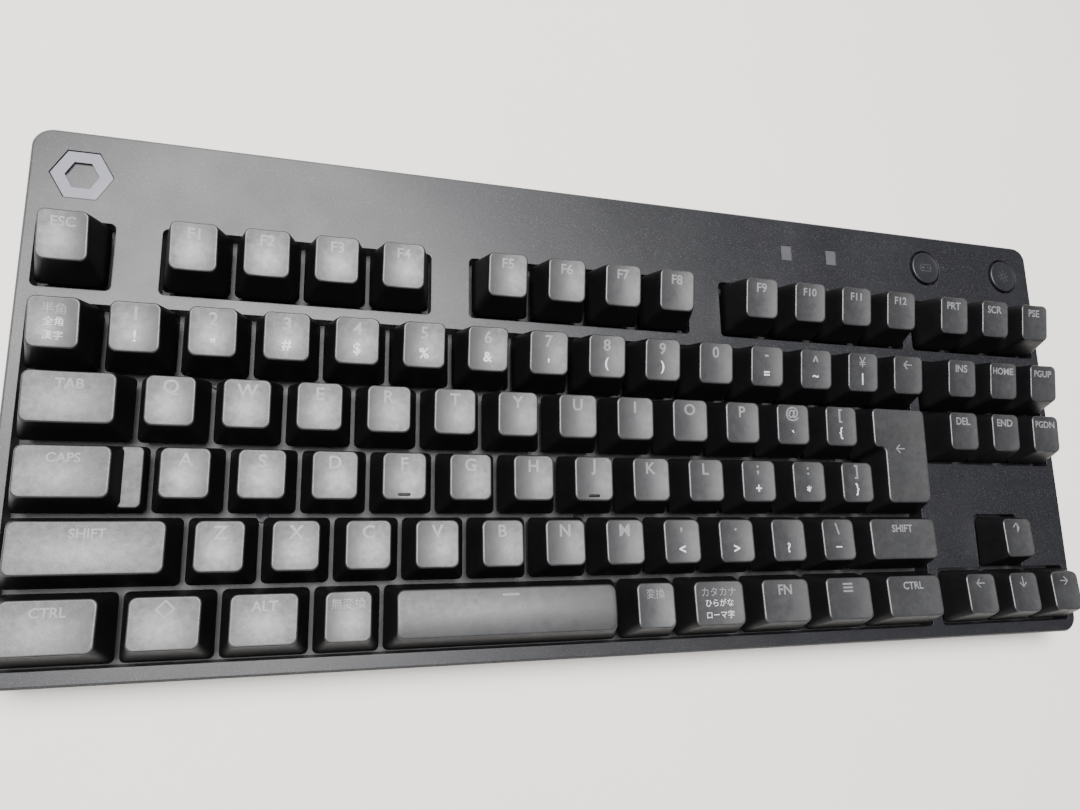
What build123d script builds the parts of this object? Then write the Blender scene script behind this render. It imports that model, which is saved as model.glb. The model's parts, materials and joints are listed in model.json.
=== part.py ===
from build123d import *
import math
import os

os.makedirs("parts", exist_ok=True)

# ---------------------------------------------------------------------------
# Driving dimensions, in millimetres and degrees
# ---------------------------------------------------------------------------
UNIT = 19.05  # pitch of the key grid
GRID_COLUMNS = 18.25  # width of the whole key grid, in units
FUNCTION_ROW_GAP = 4.7625  # extra space below the function row
SIDE_MARGIN = 3.67
FRONT_MARGIN = 4.6
REAR_MARGIN = 27.1
DECK_TILT = 3.0
FRONT_HEIGHT = 16.0  # height of the deck at the front edge
CORNER_RADIUS = 5.5
WALL = 2.4
SKIN = 2.2
WELL_CLEARANCE = 0.35  # between the unit blocks and the deck
WELL_WALL = 1.4
WELL_RADIUS = 1.6
DECK_CHAMFER = 0.6
SEAM_STEP = 0.3  # how far the bottom case stands in from the top case

PAD_HEIGHT = 1.0  # how far the rubber pads lift the case
PAD_RECESS = 0.6
FLOOR = 1.8
PARTING_HEIGHT = 9.0

PLATE_DEPTH = 6.3  # from the deck down to the switch plate
PLATE = 1.5
BOARD_DEPTH = 11.3  # from the deck down to the circuit board
BOARD = 1.6
SWITCH_CUTOUT = 14.0
SWITCH_BODY = 13.9
SWITCH_FLANGE = 15.6
SWITCH_TOP = 0.3  # height of the housings above the deck
SWITCH_TOP_WIDTH = 11.0
SWITCH_WELL = 7.4
SLIDER = 6.8
SIDE_SLIDER = 5.0
SIDE_WELL = 5.6
STABILISER = 7.6

KEY_BASE = 18.0
KEY_SKIRT = -0.6  # height of the skirt's lower edge
KEY_WALL = 1.1
KEY_ROOF = 1.5
KEY_FRONT_SLOPE = 3.5
KEY_REAR_SLOPE = 1.2
KEY_SIDE_SLOPE = 2.95
KEY_BASE_RADIUS = 1.5
KEY_TOP_RADIUS = 1.9
DISH_RADIUS = 33.0
DISH_DEPTH = 0.55
BOSS_DIAMETER = 5.5
BOSS_END = 0.9

BUTTON_HOLE = 14.0
BUTTON = 12.6
BUTTON_PROUD = 0.8
WINDOW_WIDTH = 4.2
WINDOW_LENGTH = 5.6
EMBLEM_RADIUS = 8.0
EMBLEM_SEAT = 1.2

SOCKET_X = 8.0 * UNIT
SOCKET_WIDTH = 9.0
SOCKET_HEIGHT = 3.2
SOCKET_LENGTH = 7.4
RECESS_WIDTH = 24.0
RECESS_DEPTH = 8.0
RECESS_LOW = -13.0  # floor and roof of the cable recess, below the deck
RECESS_HIGH = -4.0
RECESS_WALL = 1.3

CASE_POST = 7.0
CASE_SCREW = 2.6
PLATE_POST = 4.6
PLATE_SCREW = 2.0
PLATE_SCREW_LENGTH = 5.0
SCREW_HEAD = 5.0

PAD_LENGTH = 32.0
PAD_WIDTH = 9.0

FOOT_OFFSET = 115.5
FOOT_LENGTH = 17.0
FOOT_WIDTH = 34.0
HINGE_PIN = 2.0
POCKET_GAP = 0.5
POCKET_DEPTH = 5.0
POCKET_WALL = 1.4

# Rows, numbered from the front: height of the key tops and tilt of the tops
ROW_Y = [0, UNIT, 2 * UNIT, 3 * UNIT, 4 * UNIT, 5 * UNIT + FUNCTION_ROW_GAP]
ROW_HEIGHT = [8.7, 8.9, 8.8, 9.2, 11.0, 11.0]
ROW_TILT = [-4.0, -3.0, 0.0, 3.0, 7.0, 8.0]
CTRL_ROW, SHIFT_ROW, HOME_ROW, TAB_ROW, NUMBER_ROW, FUNCTION_ROW = range(6)

# ---------------------------------------------------------------------------
# The frame of the deck: x from the left edge of the key grid, y from the
# centre of the front row, z up from the deck's surface
# ---------------------------------------------------------------------------
tilt = math.radians(DECK_TILT)
WIDTH = GRID_COLUMNS * UNIT + 2 * SIDE_MARGIN
front_y = -UNIT / 2 - FRONT_MARGIN
rear_y = ROW_Y[FUNCTION_ROW] + UNIT / 2 + REAR_MARGIN
DEPTH = (rear_y - front_y) * math.cos(tilt)
deck_origin = (
    -WIDTH / 2 + SIDE_MARGIN,
    -DEPTH / 2 - front_y * math.cos(tilt),
    FRONT_HEIGHT - front_y * math.sin(tilt),
)
deck = Plane(
    origin=deck_origin,
    x_dir=(1, 0, 0),
    z_dir=(0, -math.sin(tilt), math.cos(tilt)),
)
STRIP_Y = 123.6  # middle of the strip behind the keys
BUTTON_X = [15.75 * UNIT, 17.75 * UNIT]
WINDOW_X = [12.5 * UNIT, 13.5 * UNIT]
EMBLEM_X = 0.5 * UNIT


def save(part, name):
    """Label one finished sub-part and write it to its own file."""
    part.label = name
    export_step(part, f"parts/{name}.step")


def deck_point(x, y, z=0):
    """The place of a point of the deck's frame in the keyboard's own frame."""
    return deck.from_local_coords(Vector(x, y, z))


# ---------------------------------------------------------------------------
# Key layout: name of the node, and its keys as (centre in units, row, width)
# ---------------------------------------------------------------------------
def run(first, count, row):
    """A run of single-width keys, by the centre of its first key."""
    return [(first + step, row, 1.0) for step in range(count)]


ENTER_KEY = "key_enter"
KEY_NODES = {
    "key_escape": [(0.5, FUNCTION_ROW, 1.0)],
    "keys_f1_to_f4": run(2.1667, 4, FUNCTION_ROW),
    "keys_f5_to_f8": run(6.8333, 4, FUNCTION_ROW),
    "keys_f9_to_f12": run(11.5, 4, FUNCTION_ROW),
    "keys_print_scroll_pause": run(15.75, 3, FUNCTION_ROW),
    "key_half_full_width": [(0.5, NUMBER_ROW, 1.0)],
    "keys_digits": run(1.5, 10, NUMBER_ROW),
    "keys_minus_caret_yen": run(11.5, 3, NUMBER_ROW),
    "key_backspace": [(14.5, NUMBER_ROW, 1.0)],
    "keys_insert_home_page_up": run(15.75, 3, NUMBER_ROW),
    "key_tab": [(0.75, TAB_ROW, 1.5)],
    "keys_letters_q_to_p": run(2, 10, TAB_ROW),
    "keys_at_and_open_bracket": run(12, 2, TAB_ROW),
    "keys_delete_end_page_down": run(15.75, 3, TAB_ROW),
    "key_caps_lock": [(0.875, HOME_ROW, 1.75)],
    "keys_letters_a_to_l": run(2.25, 9, HOME_ROW),
    "keys_semicolon_to_close_bracket": run(11.25, 3, HOME_ROW),
    "key_left_shift": [(1.125, SHIFT_ROW, 2.25)],
    "keys_letters_z_to_m": run(2.75, 7, SHIFT_ROW),
    "keys_comma_to_backslash": run(9.75, 4, SHIFT_ROW),
    "key_right_shift": [(14.125, SHIFT_ROW, 1.75)],
    "key_arrow_up": [(16.75, SHIFT_ROW, 1.0)],
    "key_left_control": [(0.75, CTRL_ROW, 1.5)],
    "key_left_super": [(2.125, CTRL_ROW, 1.25)],
    "key_left_alt": [(3.375, CTRL_ROW, 1.25)],
    "key_non_convert": [(4.5, CTRL_ROW, 1.0)],
    "key_space_bar": [(6.875, CTRL_ROW, 3.75)],
    "key_convert": [(9.25, CTRL_ROW, 1.0)],
    "key_kana": [(10.375, CTRL_ROW, 1.25)],
    "key_function": [(11.625, CTRL_ROW, 1.25)],
    "key_menu": [(12.875, CTRL_ROW, 1.25)],
    "key_right_control": [(14.25, CTRL_ROW, 1.5)],
    "key_arrow_left": [(15.75, CTRL_ROW, 1.0)],
    "key_arrow_down": [(16.75, CTRL_ROW, 1.0)],
    "key_arrow_right": [(17.75, CTRL_ROW, 1.0)],
}
ENTER_X = 14.375 * UNIT
ENTER_Y = (ROW_Y[TAB_ROW] + ROW_Y[HOME_ROW]) / 2
STABILISER_REACH = 11.9
SPACE_REACH = 1.25 * UNIT

# Wells in the deck, as (left, right in units, front and rear row)
WELLS = [
    (0, 15, CTRL_ROW, NUMBER_ROW),
    (0, 1, FUNCTION_ROW, FUNCTION_ROW),
    (5 / 3, 17 / 3, FUNCTION_ROW, FUNCTION_ROW),
    (19 / 3, 31 / 3, FUNCTION_ROW, FUNCTION_ROW),
    (11, 15, FUNCTION_ROW, FUNCTION_ROW),
    (15.25, 18.25, FUNCTION_ROW, FUNCTION_ROW),
    (15.25, 18.25, TAB_ROW, NUMBER_ROW),
    (15.25, 18.25, CTRL_ROW, CTRL_ROW),
    (16.25, 17.25, CTRL_ROW, SHIFT_ROW),
]

switch_spots = [(x * UNIT, ROW_Y[row]) for keys in KEY_NODES.values() for x, row, width in keys]
switch_spots.append((ENTER_X, ENTER_Y))


def well_sketch(margin, radius):
    """Rounded rectangles over all wells, grown by a margin, in the open sketch."""
    for left, right, front_row, rear_row in WELLS:
        low = ROW_Y[front_row] - UNIT / 2 - margin
        high = ROW_Y[rear_row] + UNIT / 2 + margin
        centre_x = (left + right) / 2 * UNIT
        with Locations((centre_x, (low + high) / 2)):
            RectangleRounded((right - left) * UNIT + 2 * margin, high - low, radius)


# ---------------------------------------------------------------------------
# Keycaps, each made about the centre of its own unit block
# ---------------------------------------------------------------------------
def top_plane(row, drop=0.0):
    """The tilted plane of a row's key tops, lowered by a drop."""
    lean = math.radians(ROW_TILT[row])
    centre_y = (KEY_FRONT_SLOPE - KEY_REAR_SLOPE) / 2
    return Plane(
        origin=(0, centre_y, ROW_HEIGHT[row] + DISH_DEPTH - drop),
        x_dir=(1, 0, 0),
        z_dir=(0, -math.sin(lean), math.cos(lean)),
    )


def top_size(width):
    """Width and depth of a key's top face."""
    top_width = (width - 1) * UNIT + KEY_BASE - 2 * KEY_SIDE_SLOPE
    top_depth = KEY_BASE - KEY_FRONT_SLOPE - KEY_REAR_SLOPE
    return top_width, top_depth


def boss_and_cross(places, roof):
    """Hollow bosses that hang from the roof and grip the sliders' crosses."""
    with BuildPart() as boss:
        with BuildSketch(Plane.XY.offset(BOSS_END)):
            with Locations(*places):
                Circle(BOSS_DIAMETER / 2)
        extrude(amount=roof - BOSS_END)
        with BuildSketch(Plane.XY.offset(BOSS_END)):
            with Locations(*places):
                Rectangle(4.1, 1.3)
                Rectangle(1.3, 4.1)
        extrude(amount=3.9, mode=Mode.SUBTRACT)
    return boss.part


def make_cap(width, row, places=((0, 0),)):
    """A hollow keycap with sloping sides and a dished top."""
    top_width, top_depth = top_size(width)
    base_width = (width - 1) * UNIT + KEY_BASE
    with BuildPart() as cap:
        with BuildSketch(Plane.XY.offset(KEY_SKIRT)):
            RectangleRounded(base_width, KEY_BASE, KEY_BASE_RADIUS)
        with BuildSketch(top_plane(row)):
            RectangleRounded(top_width, top_depth, KEY_TOP_RADIUS)
        loft()
        with BuildSketch(Plane.XY.offset(KEY_SKIRT)):
            RectangleRounded(base_width - 2 * KEY_WALL, KEY_BASE - 2 * KEY_WALL, 0.6)
        with BuildSketch(top_plane(row, KEY_ROOF + DISH_DEPTH)):
            RectangleRounded(top_width - 2 * KEY_WALL, top_depth - 2 * KEY_WALL, 0.9)
        loft(mode=Mode.SUBTRACT)
        add(boss_and_cross(places, ROW_HEIGHT[row] - KEY_ROOF + 0.3))
    if width > 3:
        return crown_top(cap.part, row)
    return dish_top(cap.part, row, top_width)


def dish_top(cap, row, top_width):
    """Scoop a cylindrical dish, as wide as the key's top, out of the cap."""
    half = top_width / 2
    radius = max(DISH_RADIUS, (half * half + DISH_DEPTH**2) / (2 * DISH_DEPTH))
    tool_plane = top_plane(row)
    with BuildPart() as dished:
        add(cap)
        axis_height = radius - DISH_DEPTH
        section = Plane(
            origin=tool_plane.from_local_coords(Vector(0, -UNIT, axis_height)),
            x_dir=(1, 0, 0),
            z_dir=tool_plane.y_dir,
        )
        with BuildSketch(section):
            Circle(radius)
        extrude(amount=2 * UNIT, mode=Mode.SUBTRACT)
    return dished.part


def crown_top(cap, row):
    """Round the space bar's top across its depth."""
    crown_radius = 30.0
    crown = ROW_HEIGHT[row] + DISH_DEPTH + 0.2
    with BuildPart() as crowned:
        add(cap)
        with BuildSketch(Plane.YZ.offset(-3 * UNIT)):
            with Locations((0.4, crown - crown_radius)):
                Circle(crown_radius)
        extrude(amount=6 * UNIT, mode=Mode.INTERSECT)
    return crowned.part


def make_caps_lock():
    """The stepped caps lock key: a raised part at the left, a low step at the right."""
    width = 1.75
    raised_base = 27.7
    raised_top = raised_base - 2 * KEY_SIDE_SLOPE
    step_height = 3.2
    base_width = (width - 1) * UNIT + KEY_BASE
    left = -base_width / 2
    lean_plane = top_plane(HOME_ROW)
    roof_plane = top_plane(HOME_ROW, KEY_ROOF + DISH_DEPTH)
    raised_x = left + raised_base / 2
    step_slope = KEY_SIDE_SLOPE * 0.35
    with BuildPart() as cap:
        with BuildSketch(Plane.XY.offset(KEY_SKIRT)):
            RectangleRounded(base_width, KEY_BASE, KEY_BASE_RADIUS)
        with BuildSketch(Plane.XY.offset(step_height)):
            with Locations((0, 0.45)):
                RectangleRounded(base_width - 2 * step_slope, KEY_BASE - 1.9, KEY_BASE_RADIUS)
        loft()
        with BuildSketch(Plane.XY.offset(KEY_SKIRT)):
            with Locations((raised_x, 0)):
                RectangleRounded(raised_base, KEY_BASE, KEY_BASE_RADIUS)
        with BuildSketch(lean_plane):
            with Locations((raised_x, 0)):
                RectangleRounded(raised_top, top_size(1)[1], KEY_TOP_RADIUS)
        loft()
        with BuildSketch(Plane.XY.offset(KEY_SKIRT)):
            with Locations((raised_x, 0)):
                RectangleRounded(raised_base - 2 * KEY_WALL, KEY_BASE - 2 * KEY_WALL, 0.6)
        with BuildSketch(roof_plane):
            with Locations((raised_x, 0)):
                RectangleRounded(raised_top - 2 * KEY_WALL, top_size(1)[1] - 2 * KEY_WALL, 0.9)
        loft(mode=Mode.SUBTRACT)
        with BuildSketch(Plane.XY.offset(KEY_SKIRT)):
            with Locations((base_width / 4, 0)):
                Rectangle(base_width / 2 - 2 * KEY_WALL, KEY_BASE - 4 * KEY_WALL)
        extrude(amount=2.4, mode=Mode.SUBTRACT)
        add(boss_and_cross(((0, 0),), ROW_HEIGHT[HOME_ROW] - KEY_ROOF + 0.3))
        with BuildSketch(Plane.XZ.offset(-UNIT)):
            with Locations((raised_x, lean_plane.origin.Z - DISH_DEPTH + 110.0)):
                Circle(110.0)
        extrude(amount=2 * UNIT, mode=Mode.SUBTRACT)
    return cap.part


def enter_outline(inset_side, inset_front, inset_rear):
    """The stepped outline of the tall enter key, about the key's own centre."""
    right = 0.625 * UNIT - 0.525 - inset_side
    left_low = -0.625 * UNIT + 0.525 + inset_side
    left_high = left_low - 0.25 * UNIT
    front = -UNIT + 0.525 + inset_front
    rear = UNIT - 0.525 - inset_rear
    notch = 0.525 + inset_front
    with BuildLine() as outline:
        Polyline(
            (right, front),
            (right, rear),
            (left_high, rear),
            (left_high, notch),
            (left_low, notch),
            (left_low, front),
            close=True,
        )
    return outline.line


def enter_face(inset_side, inset_front, inset_rear, radius):
    """The enter key's outline as a face with rounded corners, in the open sketch."""
    add(make_face(enter_outline(inset_side, inset_front, inset_rear).edges(), mode=Mode.PRIVATE))
    fillet(vertices(), radius)


def make_enter():
    """The tall stepped enter key, over two rows."""
    lean = math.radians(1.5)
    height = 9.0 + DISH_DEPTH
    centre = Vector(0, (KEY_FRONT_SLOPE - KEY_REAR_SLOPE) / 2, height)
    z_dir = (0, -math.sin(lean), math.cos(lean))
    top = Plane(origin=(0, 0, centre.Z), x_dir=(1, 0, 0), z_dir=z_dir)
    roof = top.offset(-KEY_ROOF - DISH_DEPTH)
    places = ((0, 0), (0, -STABILISER_REACH), (0, STABILISER_REACH))
    with BuildPart() as cap:
        with BuildSketch(Plane.XY.offset(KEY_SKIRT)):
            enter_face(0, 0, 0, KEY_BASE_RADIUS)
        with BuildSketch(top):
            enter_face(KEY_SIDE_SLOPE, KEY_FRONT_SLOPE, KEY_REAR_SLOPE, KEY_BASE_RADIUS)
        loft()
        with BuildSketch(Plane.XY.offset(KEY_SKIRT)):
            enter_face(KEY_WALL, KEY_WALL, KEY_WALL, 0.5)
        with BuildSketch(roof):
            enter_face(
                KEY_SIDE_SLOPE + KEY_WALL,
                KEY_FRONT_SLOPE + KEY_WALL,
                KEY_REAR_SLOPE + KEY_WALL,
                0.5,
            )
        loft(mode=Mode.SUBTRACT)
        add(boss_and_cross(places, height - DISH_DEPTH - KEY_ROOF + 0.2))
        section = Plane(
            origin=top.from_local_coords(Vector(0, -2 * UNIT, 60.0 - DISH_DEPTH)),
            x_dir=(1, 0, 0),
            z_dir=top.y_dir,
        )
        with BuildSketch(section):
            Circle(60.0)
        extrude(amount=4 * UNIT, mode=Mode.SUBTRACT)
    return cap.part


def make_slider(width):
    """The sliding stem of one switch or stabiliser, with the cross that carries the cap."""
    with BuildPart() as slider:
        with Locations((0, 0, BOSS_END)):
            Box(width, width, 7.4, align=(Align.CENTER, Align.CENTER, Align.MAX))
            Box(4.06, 1.26, 3.7, align=(Align.CENTER, Align.CENTER, Align.MIN))
            Box(1.26, 4.06, 3.7, align=(Align.CENTER, Align.CENTER, Align.MIN))
    return slider.part


def stabiliser_places(name):
    """Offsets of the stabiliser sliders under one wide key."""
    if name == ENTER_KEY:
        return [(0, -STABILISER_REACH), (0, STABILISER_REACH)]
    if name == "key_left_shift":
        return [(-STABILISER_REACH, 0), (STABILISER_REACH, 0)]
    if name == "key_space_bar":
        return [(-SPACE_REACH, 0), (SPACE_REACH, 0)]
    return []


slider = make_slider(SLIDER)
side_slider = make_slider(SIDE_SLIDER)
cap_store = {}


def cap_for(name, width, row):
    """The keycap of one key, made once for each shape."""
    if name == "key_caps_lock":
        return make_caps_lock()
    shape = (width, row)
    if shape not in cap_store:
        places = [(0, 0)] + stabiliser_places(name)
        cap_store[shape] = make_cap(width, row, places)
    return cap_store[shape]


for name, keys in KEY_NODES.items():
    with BuildPart(deck) as key_node:
        for x, row, width in keys:
            with Locations((x * UNIT, ROW_Y[row], 0)):
                add(cap_for(name, width, row))
                add(slider)
            for side_x, side_y in stabiliser_places(name):
                with Locations((x * UNIT + side_x, ROW_Y[row] + side_y, 0)):
                    add(side_slider)
    save(key_node.part, name)

with BuildPart(deck) as key_enter:
    with Locations((ENTER_X, ENTER_Y, 0)):
        add(make_enter())
        add(slider)
    for side_x, side_y in stabiliser_places(ENTER_KEY):
        with Locations((ENTER_X + side_x, ENTER_Y + side_y, 0)):
            add(side_slider)
save(key_enter.part, ENTER_KEY)

# ---------------------------------------------------------------------------
# Switch housings, backlight lamps and stabiliser housings
# ---------------------------------------------------------------------------
with BuildPart() as housing:
    with BuildSketch(Plane.XY.offset(-BOARD_DEPTH)):
        Rectangle(SWITCH_BODY, SWITCH_BODY)
    extrude(amount=BOARD_DEPTH - PLATE_DEPTH)
    with BuildSketch(Plane.XY.offset(-PLATE_DEPTH)):
        Rectangle(SWITCH_FLANGE, SWITCH_FLANGE)
    extrude(amount=1.0)
    with BuildSketch(Plane.XY.offset(-PLATE_DEPTH + 1.0)):
        Rectangle(SWITCH_BODY, SWITCH_BODY)
    with BuildSketch(Plane.XY.offset(SWITCH_TOP)):
        Rectangle(SWITCH_TOP_WIDTH, SWITCH_TOP_WIDTH)
    loft()
    with BuildSketch(Plane.XY.offset(-BOARD_DEPTH + 1.0)):
        Rectangle(SWITCH_WELL, SWITCH_WELL)
    extrude(amount=BOARD_DEPTH + 2.0, mode=Mode.SUBTRACT)
    with Locations((0, SWITCH_BODY / 2, -BOARD_DEPTH)):
        Box(4.2, 4.6, 14.0, mode=Mode.SUBTRACT)

with BuildPart(deck) as switch_housings:
    with Locations(*[(x, y, 0) for x, y in switch_spots]):
        add(housing.part)
save(switch_housings.part, "switch_housings")

with BuildPart(deck) as backlight_lamps:
    with Locations(*[(x, y + SWITCH_BODY / 2 - 1.15, -BOARD_DEPTH) for x, y in switch_spots]):
        Box(3.0, 1.8, 3.2, align=(Align.CENTER, Align.CENTER, Align.MIN))
save(backlight_lamps.part, "backlight_lamps")

stabiliser_spots = [(ENTER_X + x, ENTER_Y + y) for x, y in stabiliser_places(ENTER_KEY)]
for name, keys in KEY_NODES.items():
    for side_x, side_y in stabiliser_places(name):
        stabiliser_spots.append((keys[0][0] * UNIT + side_x, ROW_Y[keys[0][1]] + side_y))

with BuildPart(deck) as stabiliser_housings:
    with Locations(*[(x, y, -BOARD_DEPTH) for x, y in stabiliser_spots]):
        Box(
            STABILISER,
            STABILISER,
            BOARD_DEPTH - 0.8,
            align=(Align.CENTER, Align.CENTER, Align.MIN),
        )
    with Locations(*[(x, y, -BOARD_DEPTH + 1.0) for x, y in stabiliser_spots]):
        Box(
            SIDE_WELL,
            SIDE_WELL,
            BOARD_DEPTH,
            align=(Align.CENTER, Align.CENTER, Align.MIN),
            mode=Mode.SUBTRACT,
        )
save(stabiliser_housings.part, "stabiliser_housings")

# ---------------------------------------------------------------------------
# Switch plate and circuit board
# ---------------------------------------------------------------------------
plate_screw_spots = [
    (x * UNIT, y * UNIT)
    for x, y in [(2.5, 3.5), (8.5, 3.5), (12.5, 3.5), (16.25, 3.5), (3.25, 1.5), (8.25, 1.5)]
]
plate_rear = ROW_Y[FUNCTION_ROW] + UNIT / 2 + 1.6
plate_front = -UNIT / 2 - 1.6
plate_centre_y = (plate_rear + plate_front) / 2
board_rear = rear_y - RECESS_DEPTH - RECESS_WALL - 0.3
board_front = plate_front
plate_width = GRID_COLUMNS * UNIT + 1.6

with BuildPart(deck) as switch_plate:
    with BuildSketch(deck.offset(-PLATE_DEPTH)):
        with Locations((GRID_COLUMNS * UNIT / 2, plate_centre_y)):
            Rectangle(plate_width, plate_rear - plate_front)
        with Locations(*switch_spots):
            Rectangle(SWITCH_CUTOUT, SWITCH_CUTOUT, mode=Mode.SUBTRACT)
        with Locations(*stabiliser_spots):
            Rectangle(STABILISER + 0.1, STABILISER + 0.1, mode=Mode.SUBTRACT)
        with Locations(*plate_screw_spots):
            Circle(PLATE_SCREW / 2 + 0.05, mode=Mode.SUBTRACT)
    extrude(amount=-PLATE)
save(switch_plate.part, "switch_plate")

case_screw_spots = [(0.5 * UNIT + 14, 117.5), (9 * UNIT, 117.5), (16.75 * UNIT, 117.5)]
with BuildPart(deck) as circuit_board:
    with BuildSketch(deck.offset(-BOARD_DEPTH)):
        with Locations((GRID_COLUMNS * UNIT / 2, (board_rear + board_front) / 2)):
            Rectangle(plate_width, board_rear - board_front)
        with Locations(*plate_screw_spots):
            Circle(2.9, mode=Mode.SUBTRACT)
        with Locations(*case_screw_spots):
            Circle(4.2, mode=Mode.SUBTRACT)
    extrude(amount=-BOARD)
save(circuit_board.part, "circuit_board")


# ---------------------------------------------------------------------------
# Case: a bottom tray and a top cover that meet at the parting height
# ---------------------------------------------------------------------------
FLOOR_TOP = PAD_HEIGHT + FLOOR
PADS = [(-130.0, -62.0), (0.0, -62.0), (130.0, -62.0), (-150.0, 66.0), (150.0, 66.0)]
FOOT_X = [-FOOT_OFFSET, FOOT_OFFSET]
HINGE_Y = DEPTH / 2 - 32.0
HINGE_Z = PAD_HEIGHT + 2.1
POCKET_FRONT = 3.0  # room in front of the hinge pin
TIP = 1.0
pocket_width = FOOT_WIDTH + 2 * POCKET_GAP
pocket_length = POCKET_FRONT + FOOT_LENGTH + TIP + 1.0
pocket_centre_y = HINGE_Y - POCKET_FRONT + pocket_length / 2

with BuildPart() as cavity:
    with BuildSketch(Plane.XY.offset(PARTING_HEIGHT)):
        RectangleRounded(WIDTH - 2 * WALL, DEPTH - 2 * WALL, CORNER_RADIUS - WALL)
    extrude(amount=2 * FRONT_HEIGHT)
    split(bisect_by=deck.offset(-SKIN), keep=Keep.BOTTOM)

with BuildPart() as top_case:
    with BuildSketch(Plane.XY.offset(PARTING_HEIGHT)):
        RectangleRounded(WIDTH, DEPTH, CORNER_RADIUS)
    extrude(amount=2 * FRONT_HEIGHT)
    split(bisect_by=deck, keep=Keep.BOTTOM)
    chamfer(faces().sort_by(Axis.Z)[-1].edges(), DECK_CHAMFER)
    add(cavity.part, mode=Mode.SUBTRACT)
    # frames that reach down to the switch plate around every well
    with BuildSketch(deck.offset(-PLATE_DEPTH)):
        well_sketch(WELL_CLEARANCE + WELL_WALL, WELL_RADIUS + WELL_WALL)
    extrude(amount=PLATE_DEPTH - SKIN / 2)
    with BuildSketch(deck.offset(-PLATE_DEPTH)):
        well_sketch(WELL_CLEARANCE, WELL_RADIUS)
    extrude(amount=2 * PLATE_DEPTH, mode=Mode.SUBTRACT)
    # button holes, light windows and the emblem's seat
    with BuildSketch(deck):
        with Locations(*[(x, STRIP_Y) for x in BUTTON_X]):
            Circle(BUTTON_HOLE / 2)
        with Locations(*[(x, STRIP_Y) for x in WINDOW_X]):
            Rectangle(WINDOW_WIDTH, WINDOW_LENGTH)
    extrude(amount=-SKIN, mode=Mode.SUBTRACT)
    with BuildSketch(deck):
        with Locations((EMBLEM_X, STRIP_Y)):
            RegularPolygon(EMBLEM_RADIUS + 0.2, 6)
    extrude(amount=-EMBLEM_SEAT, mode=Mode.SUBTRACT)
    # recess for the cable's plug
    with BuildSketch(deck.offset(RECESS_LOW - RECESS_WALL)):
        with Locations((SOCKET_X, rear_y - 1.5)):
            Rectangle(
                RECESS_WIDTH + 2 * RECESS_WALL,
                RECESS_DEPTH + RECESS_WALL - 1.5,
                align=(Align.CENTER, Align.MAX),
            )
    extrude(amount=-RECESS_LOW + RECESS_WALL - SKIN / 2)
    with BuildSketch(deck.offset(RECESS_LOW)):
        with Locations((SOCKET_X, rear_y - RECESS_DEPTH)):
            Rectangle(RECESS_WIDTH, 2 * RECESS_DEPTH, align=(Align.CENTER, Align.MIN))
    extrude(amount=RECESS_HIGH - RECESS_LOW, mode=Mode.SUBTRACT)
    with BuildSketch(deck.offset(-BOARD_DEPTH - 0.1)):
        with Locations((SOCKET_X, rear_y - RECESS_DEPTH)):
            Rectangle(SOCKET_WIDTH + 0.2, 2 * RECESS_WALL + 0.2)
    extrude(amount=SOCKET_HEIGHT + 0.2, mode=Mode.SUBTRACT)
    # posts for the case screws
    for x, y in case_screw_spots:
        spot = deck_point(x, y)
        with BuildSketch(Plane.XY.offset(FLOOR_TOP)):
            with Locations((spot.X, spot.Y)):
                Circle(CASE_POST / 2)
        extrude(amount=spot.Z - FLOOR_TOP - SKIN / 2)
        with BuildSketch(Plane.XY.offset(FLOOR_TOP)):
            with Locations((spot.X, spot.Y)):
                Circle(CASE_SCREW / 2 + 0.05)
        extrude(amount=9.0, mode=Mode.SUBTRACT)
save(top_case.part, "top_case")

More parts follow.
